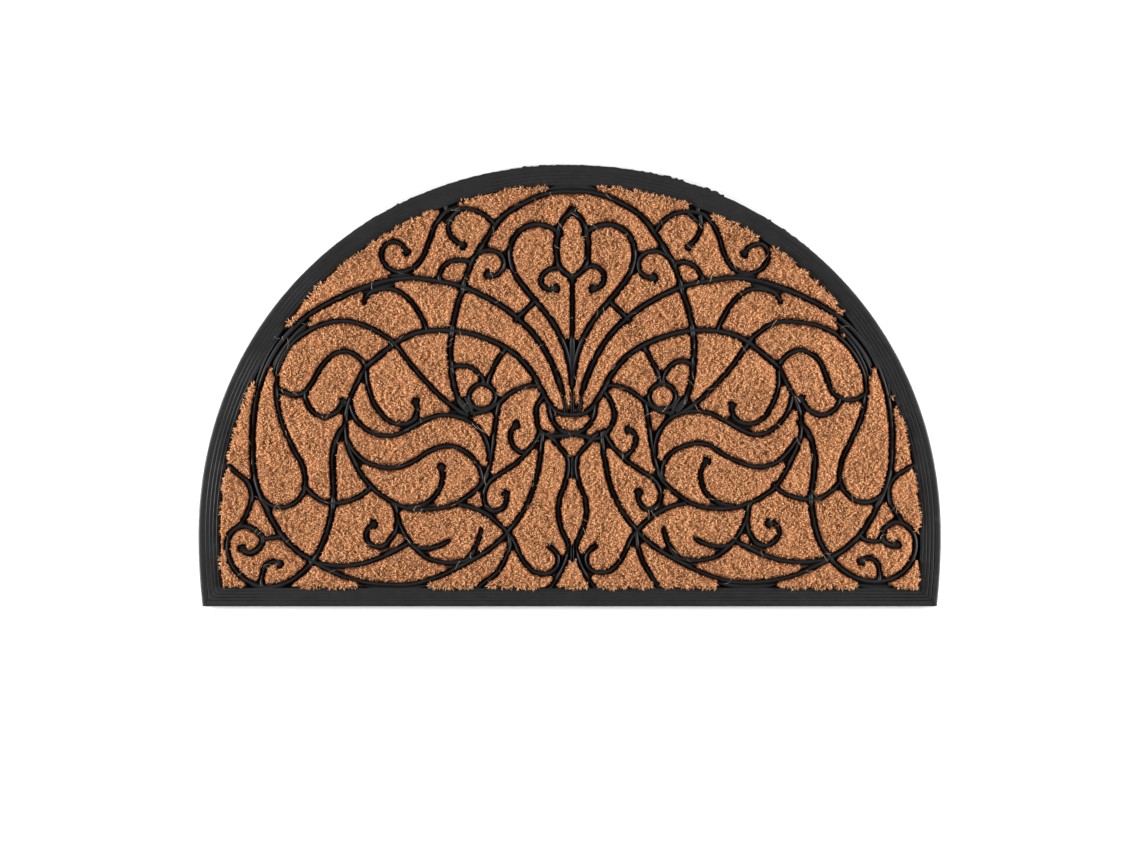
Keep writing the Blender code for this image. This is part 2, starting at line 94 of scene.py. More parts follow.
# Half of the tracery, in millimetres: distance out from the middle line, height above the straight edge
STROKES = (
    Stroke("outer_wing", False, (
        (7, 200), (20, 244), (35, 270), (60, 295), (86, 312), (111, 323), (138, 329), (164, 332),
        (188, 329), (226, 316), (265, 295), (287, 276), (303, 254), (315, 226), (323, 166), (318, 120),
        (306, 93), (291, 69), (261, 45))),
    Stroke("inner_wing", False, (
        (0, 194), (17, 198), (28, 213), (40, 235), (58, 255), (83, 269), (109, 277), (135, 279),
        (158, 276), (179, 266), (195, 253), (209, 241))),
    Stroke("wing_strand", False, (
        (210, 308), (205, 316), (194, 320), (182, 321), (169, 314), (157, 300), (147, 279))),
    Stroke("side_leaf", False, (
        (105, 193), (121, 202), (140, 219), (161, 242), (180, 266), (201, 280), (226, 288), (240, 288),
        (265, 279), (286, 262), (297, 243), (299, 228), (298, 207), (293, 185), (282, 160), (271, 138),
        (271, 117), (278, 106), (297, 100), (313, 109))),
    Stroke("side_bow", False, (
        (298, 221), (291, 217), (280, 213), (270, 216), (263, 226), (251, 245), (242, 254), (229, 258),
        (217, 253), (209, 242))),
    Stroke("side_hook", True, (
        (270, 217), (266, 202), (260, 195), (251, 191), (242, 194), (236, 199), (232, 206))),
    Stroke("arch", False, (
        (0, 419), (22, 418), (48, 408), (71, 393), (83, 377), (96, 357), (105, 339), (111, 320),
        (118, 297), (122, 275), (123, 253), (120, 227), (113, 206), (105, 196))),
    Stroke("shoulder_scroll", True, (
        (77, 383), (93, 398), (110, 402), (126, 400), (137, 388), (144, 370), (153, 350), (164, 340),
        (176, 338), (188, 344), (193, 355), (189, 365), (181, 369), (173, 366), (168, 359))),
    Stroke("shoulder_curl", True, ((113, 401), (121, 393), (125, 384), (123, 375), (118, 369), (111, 365))),
    Stroke("arch_curl", True, (
        (99, 353), (91, 359), (83, 360), (74, 357), (69, 348), (73, 337), (80, 334), (85, 335))),
    Stroke("arch_tie", False, ((134, 328), (132, 341), (122, 349), (111, 350), (103, 348))),
    Stroke("lobe", False, (
        (12, 376), (25, 384), (38, 386), (51, 381), (61, 368), (63, 355), (58, 336), (46, 319), (34, 305),
        (20, 287), (9, 266), (2, 241), (0, 224))),
    Stroke("lobe_tie", False, ((38, 309), (47, 299), (58, 289))),
    Stroke("petal", False, ((-2, 401), (9, 391), (15, 374), (16, 359), (13, 344), (5, 335), (-2, 330))),
    Stroke("petal_curl", True, ((12, 342), (20, 342), (28, 337), (32, 330), (28, 322), (17, 321))),
    Stroke("eye_brow", False, ((122, 242), (112, 243), (103, 242), (96, 237), (89, 224))),
    Stroke("eye_stay", False, ((67, 261), (80, 240), (86, 223))),
    Stroke("eye_lash", False, ((103, 195), (89, 197), (74, 206), (60, 217), (43, 223), (33, 223))),
    Stroke("leaf", False, (
        (209, 241), (221, 218), (228, 197), (229, 181), (226, 160), (216, 138), (203, 121), (189, 110),
        (170, 100), (144, 98), (117, 104), (102, 114), (91, 125), (84, 140), (80, 163), (77, 189),
        (74, 205))),
    Stroke("leaf_tongue", True, (
        (208, 238), (205, 218), (195, 197), (180, 185), (166, 185), (158, 192), (158, 206))),
    Stroke("leaf_upper_vein", False, (
        (224, 203), (215, 185), (198, 174), (186, 172), (169, 177), (151, 187), (134, 193), (114, 191),
        (98, 183), (87, 167), (84, 148))),
    Stroke("leaf_lower_vein", False, (
        (227, 168), (215, 151), (195, 141), (178, 140), (163, 145), (144, 157), (123, 162), (105, 154),
        (94, 140), (91, 126))),
    Stroke("leaf_curl", True, ((166, 100), (153, 102), (138, 112), (131, 129), (132, 140))),
    Stroke("volute", True, (
        (229, 183), (237, 172), (242, 151), (241, 118), (243, 94), (249, 72), (261, 47), (272, 35),
        (288, 24), (309, 19), (329, 26), (343, 41), (348.5, 59), (345, 74), (335, 81), (322, 78),
        (313, 68), (318, 57), (327, 54), (333, 58))),
    Stroke("volute_stay", False, ((313, 68), (304, 69), (291, 71))),
    Stroke("volute_link", False, ((355, 148), (339, 135), (328, 125), (324, 113), (326, 100), (337, 81))),
    Stroke("volute_thorn", True, ((314, 20), (313, 31), (308, 43), (302, 45), (296, 43))),
    Stroke("leaf_bow", False, ((271, 123), (263, 114), (249, 105), (231, 105), (215, 111), (203, 121))),
    Stroke("bottom_sweep", False, (
        (261, 45), (240, 34), (213, 25), (188, 22), (164, 22), (138, 29), (112, 41), (86, 56), (66, 74),
        (53, 91), (40, 117), (34, 141), (30, 176))),
    Stroke("bottom_fan", False, ((261, 45), (240, 41), (213, 43), (188, 52), (164, 65))),
    Stroke("fan_curl", True, (
        (182, 105), (177, 86), (183, 69), (194, 60), (205, 64), (208, 73), (201, 83))),
    Stroke("fan_sweep", False, (
        (179, 102), (174, 83), (163, 64), (148, 50), (127, 44), (109, 46), (98, 49))),
    Stroke("fan_inner", False, ((164, 64), (155, 59), (142, 59), (130, 63), (123, 67))),
    Stroke("fan_spur", False, ((107, 47), (100, 56), (95, 66), (92, 79))),
    Stroke("foot_scroll", False, (
        (115, 103), (99, 99), (82, 90), (66, 75), (60, 68), (50, 47), (37, 34), (26, 33), (16, 40),
        (15, 52), (23, 60))),
    Stroke("foot_stay", False, ((65, 74), (63, 64), (67, 50), (76, 34), (89, 24), (98, 17))),
    Stroke("tendril", True, (
        (32, 177), (43, 159), (55, 146), (71, 135), (84, 125), (89, 114), (86, 101), (77, 96), (69, 101),
        (67, 113))),
    Stroke("tendril_curl", True, ((47, 155), (56, 158), (62, 168), (61, 178), (57, 183))),
    Stroke("collar_rim", False, (
        (29, 212), (36, 202), (36, 190), (32, 177), (22, 172), (11, 172), (-1, 174))),
    Stroke("collar_bowl", False, ((23, 206), (22, 192), (15, 181), (7, 176), (-1, 175))),
    Stroke("ogee", False, (
        (26, 175), (13, 161), (5, 150), (4, 142), (7, 125), (13, 108), (14, 93), (10, 76), (4, 62),
        (4, 55), (9, 40), (24, 17))),
)

# Strokes that run differently on the right half
RIGHT_STROKES = (
    Stroke("side_leaf", False, (
        (105, 193), (121, 202), (140, 219), (161, 242), (184, 273), (199, 284), (213, 288), (228, 287),
        (242, 285), (261, 278), (277, 265), (288, 250), (295, 234), (297, 221), (296, 208), (291, 188),
        (280, 162), (272, 143), (270, 126), (277, 110), (291, 101), (304, 103), (313, 109))),
    Stroke("side_bow", False, (
        (298, 217), (291, 211), (281, 208), (271, 210), (263, 216), (259, 225), (254, 239), (248, 250),
        (240, 256), (230, 259), (219, 255), (210, 245))),
    Stroke("side_hook", True, ((270, 209), (262, 196), (250, 192), (240, 197), (235, 204), (232, 209))),
    Stroke("shoulder_scroll", True, (
        (85, 379), (98, 394), (116, 399), (134, 395), (146, 379), (152, 360), (163, 341), (177, 336),
        (191, 341), (198, 354), (192, 366), (182, 365), (174, 357))),
    Stroke("shoulder_curl", True, ((129, 395), (130, 385), (127, 375), (118, 364))),
    Stroke("arch_curl", True, (
        (99, 351), (93, 356), (84, 359), (74, 357), (68, 351), (67, 342), (72, 334), (82, 332))),
    Stroke("arch_tie", False, ((103, 346), (113, 348), (122, 345), (128, 338), (132, 330))),
    Stroke("petal_curl", True, (
        (11, 340), (18, 344), (25, 343), (31, 338), (32, 330), (28, 323), (21, 321))),
    Stroke("eye_stay", False, ((73, 262), (80, 249), (86, 237), (89, 226))),
    Stroke("eye_brow", False, ((121, 244), (110, 248), (100, 244), (95, 237), (92, 225))),
    Stroke("leaf", False, (
        (209, 242), (220, 219), (227, 205), (231, 190), (231, 175), (228, 160), (221, 145), (204, 118),
        (184, 105), (171, 100), (149, 97), (127, 100), (113, 107), (101, 116), (91, 127), (85, 141),
        (81, 158), (78, 178), (74, 204))),
    Stroke("leaf_tongue", True, (
        (208, 238), (208, 222), (203, 206), (194, 191), (183, 184), (172, 185), (163, 192), (161, 202))),
    Stroke("leaf_upper_vein", False, (
        (222, 212), (218, 197), (210, 185), (199, 176), (184, 173), (170, 178), (151, 189), (138, 195),
        (124, 197), (110, 195), (97, 188), (88, 176), (84, 164), (84, 148))),
    Stroke("leaf_lower_vein", False, (
        (227, 168), (217, 154), (206, 144), (185, 140), (164, 147), (150, 154), (139, 162), (125, 164),
        (112, 161), (101, 155), (93, 144), (91, 128))),
    Stroke("leaf_curl", True, ((163, 100), (149, 103), (138, 110), (131, 122), (130, 135), (135, 145))),
    Stroke("volute", True, (
        (229, 185), (238, 174), (244, 155), (244, 129), (241, 107), (244, 82), (252, 57), (264, 41),
        (277, 30), (291, 23), (308, 21), (323, 24), (336, 33), (346, 50), (346, 66), (337, 78), (325, 81),
        (315, 74), (314, 63), (328, 58))),
    Stroke("volute_stay", False, ((291, 67), (300, 62), (312, 63))),
    Stroke("volute_link", False, (
        (355, 144), (337, 135), (327, 128), (321, 120), (320, 110), (322, 98), (328, 89), (333, 81))),
    Stroke("volute_thorn", True, ((310, 22), (310, 32), (307, 41), (300, 45), (292, 42))),
    Stroke("fan_curl", True, (
        (180, 103), (177, 91), (179, 73), (185, 63), (195, 59), (205, 64), (209, 74), (205, 81), (199, 82))),
    Stroke("foot_stay", False, ((65, 74), (66, 60), (72, 42), (80, 28), (87, 17))),
    Stroke("tendril_curl", True, ((52, 150), (61, 158), (64, 167), (63, 174), (57, 178))),
    Stroke("collar_rim", False, (
        (33, 216), (41, 202), (42, 188), (38, 179), (28, 170), (20, 169), (11, 172), (-1, 175))),
)

# Strokes whose far end stands free and runs out thin
FREE_ENDS = ("wing_strand", "fan_inner", "fan_spur")

# Strokes that are moulded heavier than the rest
HEAVY_STROKES = ("arch", "lobe", "petal", "inner_wing", "outer_wing", "volute")
HEAVY_HALF = 2.9 * MM

Strand = namedtuple("Strand", "half crest taper through")

# Thinner strands where the rubber closes up between strokes: half width, crest and the length of
# the taper at both ends, in millimetres
STRANDS = (
    Strand(2.2, 7.0, 0, ((112, 208), (98, 193))),
    Strand(2.0, 7.4, 0, ((108, 211), (101, 199))),
    Strand(2.6, 7.2, 0, ((117, 397), (127, 388))),
    Strand(2.6, 7.0, 0, ((126, 398), (129, 406))),
    Strand(2.6, 7.2, 8, ((202, 319), (180, 325))),
    Strand(2.6, 7.2, 8, ((164, 335), (187, 334))),
    Strand(2.2, 7.6, 20, ((262, 290), (281, 273), (295, 254), (303, 234))),
    Strand(2.2, 7.2, 16, ((276, 274), (288, 257), (296, 241), (300, 228))),
    Strand(1.8, 7.4, 20, ((296, 272), (309, 252), (317, 232), (321, 214))),
    Strand(2.8, 7.0, 14, ((206, 19), (176, 17), (146, 21))),
    Strand(2.6, 7.0, 10, ((324, 17), (305, 15), (287, 18))),
    Strand(4.8, 6.6, 10, ((268, 285), (284, 268), (302, 243))),
    Strand(2.4, 7.2, 6, ((11, 218), (8, 206), (6, 195))),
    Strand(0.7, 9.4, 6, ((11, 214), (9, 206), (7.5, 196))),
    Strand(0.6, 9.2, 6, ((8.5, 212), (7, 204), (5, 196))),
    Strand(0.7, 9.4, 8, ((1.0, 218), (1.0, 196))),
    Strand(0.6, 9.0, 4, ((1.2, 62), (1.2, 46))),
)

# Strokes on the middle line itself
CENTRE = (
    Strand(3.6, 7.0, 9, ((0, 337), (0, 322))),
    Strand(3.2, 7.0, 0, ((0, 330), (0, 262))),
    Strand(4.2, 7.2, 22, ((0, 280), (0, 226))),
    Strand(2.6, 7.4, 0, ((0, 243), (0, 196))),
    Strand(2.6, 6.8, 6, ((0, 152), (0, 129))),
    Strand(2.8, 7.2, 4, ((0, 62), (0, 45))),
    Strand(4.4, 7.6, 16, ((-25, 421), (-12, 424), (12, 424), (25, 421))),
)


def distances_along(path):
    """How far along the path each of its points lies."""
    return np.concatenate([[0], np.cumsum(np.linalg.norm(np.diff(path, axis=0), axis=1))])


def points_at(path, gone, steps):
    """Points of the path where the measure in gone reaches each of the steps."""
    return np.stack([np.interp(steps, gone, path[:, 0]), np.interp(steps, gone, path[:, 1])], axis=1)


def nearest_tree(places):
    """A tree that finds the nearest of some places on the mat."""
    tree = kdtree.KDTree(len(places))
    for index, (x, y) in enumerate(places):
        tree.insert((x, y, 0), index)
    tree.balance()
    return tree


def between(raster, column, row, u, v):
    """The raster's value at the shares u and v of the way on from one of its points to the next."""
    low = raster[column, row] * (1 - u) + raster[column + 1, row] * u
    high = raster[column, row + 1] * (1 - u) + raster[column + 1, row + 1] * u
    return low * (1 - v) + high * v


# Length and depth of the area round the origin that the noise covers
NOISE_SPAN = (0.9, 0.6)


def soft_noise(x, y, cell, seed):
    """Smooth noise from -1 to 1 over the mat, its lumps about one cell across."""
    count = (int(NOISE_SPAN[0] / cell) + 3, int(NOISE_SPAN[1] / cell) + 3)
    lattice = np.random.default_rng(seed).uniform(-1, 1, count)
    across = (np.asarray(x) + NOISE_SPAN[0] / 2) / cell
    along = (np.asarray(y) + NOISE_SPAN[1] / 2) / cell
    column = np.clip(np.floor(across).astype(int), 0, count[0] - 2)
    row = np.clip(np.floor(along).astype(int), 0, count[1] - 2)
    u = across - column
    v = along - row
    return between(lattice, column, row, u * u * (3 - 2 * u), v * v * (3 - 2 * v))


def half_width(y):
    """Half the mat's width at a height y of the frame."""
    rise = y - (EDGE_Y + WIDEST_ABOVE_EDGE)
    reach = MAT_DEPTH - WIDEST_ABOVE_EDGE
    upper = np.clip(1 - np.clip(rise / reach, 0, 1) ** ARCH_EXPONENT, 0, 1) ** (1 / ARCH_EXPONENT)
    lower = np.sqrt(1 - (np.minimum(rise, 0) / SIDE_ROUND) ** 2)
    return MAT_WIDTH / 2 * np.where(rise > 0, upper, lower)


def arch_points(spacing):
    """Fine points of the outline from the lower right corner over the arch to the lower left one."""
    reach = MAT_DEPTH - WIDEST_ABOVE_EDGE
    power = 2 / ARCH_EXPONENT
    drop = np.linspace(0, WIDEST_ABOVE_EDGE, 40)[:-1]
    side = np.stack([half_width(EDGE_Y + drop), EDGE_Y + drop], axis=1)
    angle = np.linspace(0, math.pi, 1600)
    cosine = np.cos(angle)
    arch = np.stack([MAT_WIDTH / 2 * np.sign(cosine) * np.abs(cosine) ** power,
                     EDGE_Y + WIDEST_ABOVE_EDGE + reach * np.sin(angle) ** power], axis=1)
    mirrored = side[::-1] * (-1, 1)
    fine = np.concatenate([side, arch, mirrored])
    gone = distances_along(fine)
    return points_at(fine, gone, np.linspace(0, gone[-1], int(gone[-1] / spacing) + 1))


def border_ring(share, arch_count, edge_count):
    """The outline moved in by a share of the border's width, mitred at the two lower corners."""
    base = arch_points(0.5 * MM)
    along = np.gradient(base, axis=0)
    along /= np.linalg.norm(along, axis=1)[:, None]
    inward = np.stack([-along[:, 1], along[:, 0]], axis=1)
    part = np.linspace(0, 1, len(base))
    side_width = BORDER_RIGHT + (BORDER_LEFT - BORDER_RIGHT) * part
    width = BORDER_ARCH + (side_width - BORDER_ARCH) * np.abs(2 * part - 1) ** 3
    moved = base + inward * (width * share)[:, None]
    level = EDGE_Y + BORDER_BOTTOM * share
    above = moved[moved[:, 1] >= level - 1e-9]
    first = [half_width(level) - BORDER_RIGHT * share, level]
    last = [-half_width(level) + BORDER_LEFT * share, level]
    above = np.concatenate([[first], above, [last]])
    gone = distances_along(above)
    arch = points_at(above, gone, np.linspace(0, gone[-1], arch_count))
    beside = MITRE_HALF / np.linalg.norm(np.subtract(first, last))
    shares = np.concatenate([[beside], np.linspace(0, 1, edge_count)[1:-1], [1 - beside]])
    edge = np.add(last, np.subtract(first, last) * shares[:, None])
    arch[1] = arch[0] + (arch[1] - arch[0]) * MITRE_HALF / np.linalg.norm(arch[1] - arch[0])
    arch[-2] = arch[-1] + (arch[-2] - arch[-1]) * MITRE_HALF / np.linalg.norm(arch[-2] - arch[-1])
    return np.concatenate([arch, edge])


def bend_directions(knots):
    """Heading at each knot: that of the circle through it and its two neighbours."""
    runs = [b - a for a, b in pairwise(knots)]
    inner = []
    for run_in, run_out in pairwise(runs):
        heading = run_in.normalized() * run_out.length + run_out.normalized() * run_in.length
        inner.append(heading.normalized())
    if not inner:
        return [runs[0].normalized()] * 2
    first = inner[0].reflect(runs[0].orthogonal().normalized())
    last = inner[-1].reflect(runs[-1].orthogonal().normalized())
    return [first, *inner, last]


def smooth_path(points):
    """A fine polyline along the smooth curve that passes through the points."""
    knots = [Vector(point) for point in points]
    headings = bend_directions(knots)
    path = []
    for (start, end), (leave, arrive) in zip(pairwise(knots), pairwise(headings)):
        reach = (end - start).length / 3
        path += interpolate_bezier(start, start + leave * reach, end - arrive * reach, end, 16)[:-1]
    return np.array([*path, knots[-1]])


def placed(path, side):
    """Points of the half pattern on the mat; side is -1 for the left half and 1 for the right."""
    out, up = path[:, 0], path[:, 1]
    lift = 0.0
    if side > 0:
        below = np.maximum(0, LIFT_BELOW - up)
        inner = INNER_LIFT_RATE * below * np.clip(out / INNER_LIFT_RAMP, 0, 1)
        outer = np.minimum(OUTER_LIFT, OUTER_LIFT_RATE * below)
        lift = inner + (outer - inner) * np.clip((out - OUTER_LIFT_START) / OUTER_LIFT_RAMP, 0, 1)
    return np.stack([PATTERN_SHIFT + side * out * MM, (up + lift) * MM + EDGE_Y], axis=1)


def evenly(path, spacing):
    """The path with its points about one spacing apart."""
    gone = distances_along(path)
    return points_at(path, gone, np.linspace(0, gone[-1], max(3, int(gone[-1] / spacing) + 1)))


Rib = namedtuple("Rib", "path half gap crest ball start_taper end_taper")

# Share of its width that a tapered rib keeps at its very end, and the taper of a stroke's free end
TAPERED_SHARE = 0.3
FREE_TAPER = 9 * MM


def half_along(rib, gone):
    """Half the rib's width at distances along it, drawn in where an end tapers."""
    share = np.ones_like(gone)
    if rib.start_taper:
        share = np.minimum(share, TAPERED_SHARE + gone / rib.start_taper)
    if rib.end_taper:
        share = np.minimum(share, TAPERED_SHARE + (gone[-1] - gone) / rib.end_taper)
    return rib.half * share


def strand_rib(strand, side):
    """A strand as a path on one half of the mat."""
    taper = strand.taper * MM
    return Rib(placed(smooth_path(strand.through), side), strand.half * MM, SNUG_GAP, strand.crest * MM,
               False, taper, taper)


def all_ribs():
    """Every stroke and strand of both halves as a path on the mat, in metres."""
    ribs = []
    angle = np.linspace(0, 2 * math.pi, 49)
    ring = np.stack([RING_CENTRE[0] + RING_RADIUS * np.cos(angle),
                     RING_CENTRE[1] + RING_RADIUS * np.sin(angle)], axis=1)
    own = {stroke.name: stroke for stroke in RIGHT_STROKES}
    for side in (-1, 1):
        for stroke in STROKES:
            if side > 0:
                stroke = own.get(stroke.name, stroke)
            path = placed(smooth_path(stroke.through), side)
            taper = FREE_TAPER if stroke.name in FREE_ENDS else 0
            half = HEAVY_HALF if stroke.name in HEAVY_STROKES else RIB_HALF
            ribs.append(Rib(path, half, CHANNEL_GAP, RIB_CREST, stroke.ball, 0, taper))
        ribs.append(Rib(placed(ring, side), RIB_HALF, CHANNEL_GAP, RIB_CREST, False, 0, 0))
        ribs += [strand_rib(strand, side) for strand in STRANDS]
    return ribs + [strand_rib(strand, -1) for strand in CENTRE]


RIBS = all_ribs()


class Field:
    """Distances over the mat on a fine raster: to the nearest channel's side, and to the border."""

    pitch = 1.0 * MM
    left = -0.380
    low = -0.228
    columns = 761
    rows = 457
    spacing = 0.8 * MM
    least = 1.5 * MM
    arch_count = 1300
    edge_count = 760

    def __init__(self, ribs):
        xs = self.left + self.pitch * np.arange(self.columns)
        ys = self.low + self.pitch * np.arange(self.rows)
        grid_x, grid_y = np.meshgrid(xs, ys, indexing="ij")
        self.rib = self.nearest_rib(ribs, xs, ys)
        self.border = self.inside_border(xs, ys)
        self.close_slivers(grid_x, grid_y)

    def nearest_rib(self, ribs, xs, ys):
        samples = []
        for rib in ribs:
            dots = evenly(rib.path, self.spacing)
            gone = self.spacing * np.arange(len(dots))
            samples += [(x, y, half + rib.gap) for (x, y), half in zip(dots, half_along(rib, gone))]
            if rib.ball:
                samples.append((*dots[-1], BALL_RADIUS + rib.gap))
        tree = nearest_tree([sample[:2] for sample in samples])
        halves = [sample[2] for sample in samples]
        found = np.empty((self.columns, self.rows))
        for column, x in enumerate(xs):
            for row, y in enumerate(ys):
                near = tree.find_n((x, y, 0), 2)
                found[column, row] = min(distance - halves[index] for _, index, distance in near)
        return found

    def inside_border(self, xs, ys):
        ring = border_ring(1.0, self.arch_count, self.edge_count)
        tree = nearest_tree(ring)
        top = ring[:, 1].max()
        reaches = []
        for half in np.split(ring[:self.arch_count], 2):
            order = np.argsort(half[:, 1])
            reaches.append(np.interp(ys, half[order, 1], half[order, 0]))
        right_reach, left_reach = reaches
        found = np.empty((self.columns, self.rows))
        for column, x in enumerate(xs):
            for row, y in enumerate(ys):
                distance = tree.find((x, y, 0))[2]
                level = EDGE_Y + BORDER_BOTTOM < y < top
                inside = level and left_reach[row] < x < right_reach[row]
                found[column, row] = distance if inside else -distance
        return found

    def close_slivers(self, grid_x, grid_y):
        """Gives each corner and sliver of pad too narrow for coir to the channels, but for one.

        The sliver between the left corner scroll and the border keeps its coir.
        """
        inside = np.minimum(self.rib, self.border)
        core = (inside >= self.least) & (inside < self.least + 2 * self.pitch)
        tree = nearest_tree(np.column_stack([grid_x[core], grid_y[core]]))
        rim = (inside > -1.3 * self.pitch) & (inside < self.least) & (self.rib < 3 * self.least)
        beside_left_scroll = (grid_x < -0.335) & (np.abs(grid_y + 0.160) < 0.030)
        rim &= ~beside_left_scroll
        for column, row in np.argwhere(rim):
            reach = tree.find((grid_x[column, row], grid_y[column, row], 0))[2]
            left = self.least - reach + 0.4 * self.pitch
            if left < inside[column, row] - 0.7 * self.pitch:
                left -= 1.3 * self.pitch
            self.rib[column, row] = min(self.rib[column, row], left)

    def sample(self, raster, x, y):
        across = np.clip((x - self.left) / self.pitch, 0, self.columns - 1.001)
        along = np.clip((y - self.low) / self.pitch, 0, self.rows - 1.001)
        column = across.astype(int)
        row = along.astype(int)
        return between(raster, column, row, across - column, along - row)

    def pad(self, x, y):
        """How far a place lies inside its pad of coir, less than nothing in a channel or the border."""
        ragged = 0.30 * MM * soft_noise(x, y, 1.6 * MM, 11) + 0.25 * MM * soft_noise(x, y, 5 * MM, 12)
        frayed = 0.7 * MM * soft_noise(x, y, 3 * MM, 13) + 0.8 * MM * soft_noise(x, y, 11 * MM, 14)
        from_rib = self.sample(self.rib, x, y) + ragged
        steep_side = np.clip((np.abs(x) - 0.322) / 0.012, 0, 1) * np.clip((y + 0.185) / 0.015, 0, 1)
        from_border = self.sample(self.border, x, y) - 0.3 * MM - 1.3 * MM * steep_side + frayed
        return np.minimum(from_rib, from_border)


FIELD = Field(RIBS)


def mesh_object(name, points, faces, body="root"):
    """A mesh of the given points and equal-sided faces, riding on its body."""
    points = np.asarray(points, dtype=np.float32)
    faces = np.asarray(faces, dtype=np.int32)
    sides = faces.shape[1]
    data = bpy.data.meshes.new(name)
    data.vertices.add(len(points))
    data.vertices.foreach_set("co", points.ravel())
    data.loops.add(faces.size)
    data.loops.foreach_set("vertex_index", faces.ravel())
    data.polygons.add(len(faces))
    data.polygons.foreach_set("loop_start", np.arange(len(faces), dtype=np.int32) * sides)
    data.update(calc_edges=True)
    data.validate()
    built = bpy.data.objects.new(name, data)
    bpy.context.scene.collection.objects.link(built)
    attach(built, body)
    return built


def tint(built, colours):
    """Stores a colour for each point of the mesh."""
    layer = built.data.color_attributes.new(name="tint", type="FLOAT_COLOR", domain="POINT")
    rgba = np.ones((len(colours), 4), dtype=np.float32)
    rgba[:, :3] = colours
    layer.data.foreach_set("color", rgba.ravel())


def close_up(built, wall_to=None):
    """Closes the mesh's open rims, after a wall down to a level if given, and turns faces outwards."""
    mesh = bmesh.new()
    mesh.from_mesh(built.data)
    if wall_to is not None:
        rim = [edge for edge in mesh.edges if edge.is_boundary]
        wall = bmesh.ops.extrude_edge_only(mesh, edges=rim)["geom"]
        for vert in (item for item in wall if isinstance(item, bmesh.types.BMVert)):
            vert.co.z = wall_to
    bmesh.ops.holes_fill(mesh, edges=[edge for edge in mesh.edges if edge.is_boundary])
    bmesh.ops.recalc_face_normals(mesh, faces=mesh.faces)
    mesh.to_mesh(built.data)
    mesh.free()


def ring_faces(count, rings):
    """Faces between rings of as many points each, from each ring to the next."""
    here = np.arange(count)
    after = np.roll(here, -1)
    return np.concatenate([np.stack([base + here, base + after, base + count + after, base + count + here],
                                    axis=1) for base in count * np.arange(rings - 1)])


def nodes_of(name):
    """A new material with its nodes, links and shader."""
    made = bpy.data.materials.new(name)
    made.use_nodes = True
    tree = made.node_tree
    return made, tree.nodes, tree.links, tree.nodes["Principled BSDF"]


def noise_node(nodes, links, coordinates, scale, detail=3.0, roughness=0.6):
    """Noise in the object's own coordinates."""
    made = nodes.new("ShaderNodeTexNoise")
    made.inputs["Scale"].default_value = scale
    made.inputs["Detail"].default_value = detail
    made.inputs["Roughness"].default_value = roughness
    links.new(coordinates.outputs["Object"], made.inputs["Vector"])
    return made


def ramp_node(nodes, links, source, stops):
    """Colours given at places along the source's range."""
    made = nodes.new("ShaderNodeValToRGB")
    while len(made.color_ramp.elements) < len(stops):
        made.color_ramp.elements.new(0.5)
    for element, (place, colour) in zip(made.color_ramp.elements, stops):
        element.position = place
        element.color = (*colour, 1.0)
    links.new(source, made.inputs["Fac"])
    return made


def range_node(nodes, links, source, taken, given):
    """Maps the range of values taken to the range given."""
    made = nodes.new("ShaderNodeMapRange")
    made.inputs["From Min"].default_value, made.inputs["From Max"].default_value = taken
    made.inputs["To Min"].default_value, made.inputs["To Max"].default_value = given
    links.new(source, made.inputs["Value"])
    return made


def scaled(nodes, links, colour, factor):
    """The colour times the factor's result."""
    made = nodes.new("ShaderNodeVectorMath")
    made.operation = "SCALE"
    links.new(colour, made.inputs[0])
    links.new(factor.outputs["Result"], made.inputs["Scale"])
    return made.outputs["Vector"]


def bump_node(nodes, links, source, strength, distance):
    """Bump of a given strength and depth."""
    made = nodes.new("ShaderNodeBump")
    made.inputs["Strength"].default_value = strength
    made.inputs["Distance"].default_value = distance
    links.new(source, made.inputs["Height"])
    return made


# Levels between which the rubber down in the channels is painted blacker as painted shade, and made duller
PAINTED_SHADE_AND_DULL_LEVELS = (6.0 * MM, 7.4 * MM)


def rubber_material(name, specular, sunk):
    """Black moulded rubber: satin, a little mottled with dust; if sunk, painted blacker deep down as painted
    shade, and duller there.
    """
    made, nodes, links, shader = nodes_of(name)
    place = nodes.new("ShaderNodeTexCoord")
    dust = noise_node(nodes, links, place, 90, 5.0, 0.65)
    colour = ramp_node(nodes, links, dust.outputs["Fac"],
                       [(0.30, (0.0035, 0.0035, 0.0038)), (0.62, (0.0065, 0.0065, 0.0071)),
                        (0.80, (0.014, 0.013, 0.013))])
    wear = noise_node(nodes, links, place, 260, 3.0)
    polish = range_node(nodes, links, wear.outputs["Fac"], (0.0, 1.0), (0.42, 0.68))
    base = colour.outputs["Color"]
    rough = polish.outputs["Result"]
    if sunk:
        split = nodes.new("ShaderNodeSeparateXYZ")
        links.new(place.outputs["Object"], split.inputs["Vector"])
        # Painted shade: the base colour darkens to a fifth of itself towards the channel floor
        base = scaled(nodes, links, base, range_node(nodes, links, split.outputs["Z"], PAINTED_SHADE_AND_DULL_LEVELS, (0.2, 1.0)))
        dull = range_node(nodes, links, split.outputs["Z"], PAINTED_SHADE_AND_DULL_LEVELS, (1.0, 0.0))
        rougher = nodes.new("ShaderNodeMath")
        rougher.operation = "MAXIMUM"
        links.new(rough, rougher.inputs[0])
        links.new(dull.outputs["Result"], rougher.inputs[1])
        rough = rougher.outputs["Value"]
    links.new(base, shader.inputs["Base Color"])
    links.new(rough, shader.inputs["Roughness"])
    shader.inputs["Specular IOR Level"].default_value = specular
    grain = noise_node(nodes, links, place, 1400, 2.0)
    bump = bump_node(nodes, links, grain.outputs["Fac"], 0.25, 0.2 * MM)
    links.new(bump.outputs["Normal"], shader.inputs["Normal"])
    return made


